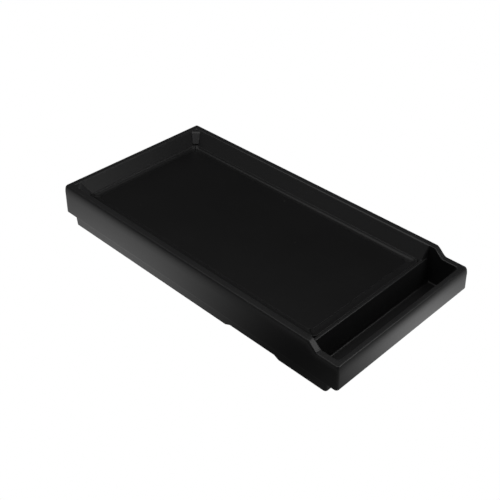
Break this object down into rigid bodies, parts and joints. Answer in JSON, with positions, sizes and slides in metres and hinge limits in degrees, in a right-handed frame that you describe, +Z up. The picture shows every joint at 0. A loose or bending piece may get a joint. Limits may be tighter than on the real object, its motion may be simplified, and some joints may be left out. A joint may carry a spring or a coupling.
{
  "type": "gaming table tray",
  "caption": "Shallow two-part rectangular tray with sloping inner walls, a loose liner of a flat mat with coved edge strips, and a deep trough behind a stepped-down rim at one end.",
  "frame": {"origin": "middle of the tray's plan, on the surface that its rubber feet stand on", "axes": "+X along the length towards the trough, +Y across, +Z up"},
  "size_m": [0.4, 0.2026, 0.048],
  "materials": {
    "shell_plastic": "satin black moulded ABS, fine spark texture",
    "liner_plastic": "satin black moulded edging",
    "mat_plastic": "satin black sheet",
    "pan_plastic": "satin black moulded ABS",
    "screw_steel": "zinc-plated",
    "foot_rubber": "matt black rubber"
  },
  "bodies": {
    "tray": {"tray_shell": "shell_plastic", "base_pan": "pan_plastic", "base_screw_1": "screw_steel", "base_screw_2": "screw_steel", "base_screw_3": "screw_steel", "base_screw_4": "screw_steel", "base_screw_5": "screw_steel", "base_screw_6": "screw_steel", "base_screw_7": "screw_steel", "base_screw_8": "screw_steel", "rubber_foot_1": "foot_rubber", "rubber_foot_2": "foot_rubber", "rubber_foot_3": "foot_rubber", "rubber_foot_4": "foot_rubber"},
    "liner": {"liner_mat": "mat_plastic", "liner_edge_near": "liner_plastic", "liner_edge_far": "liner_plastic", "liner_edge_back": "liner_plastic", "liner_edge_front": "liner_plastic"}
  },
  "joints": [
    {"name": "liner_lift", "type": "slide", "parent": "tray", "child": "liner", "axis": [0, 0, 1], "range_m": [0, 0.06]}
  ]
}
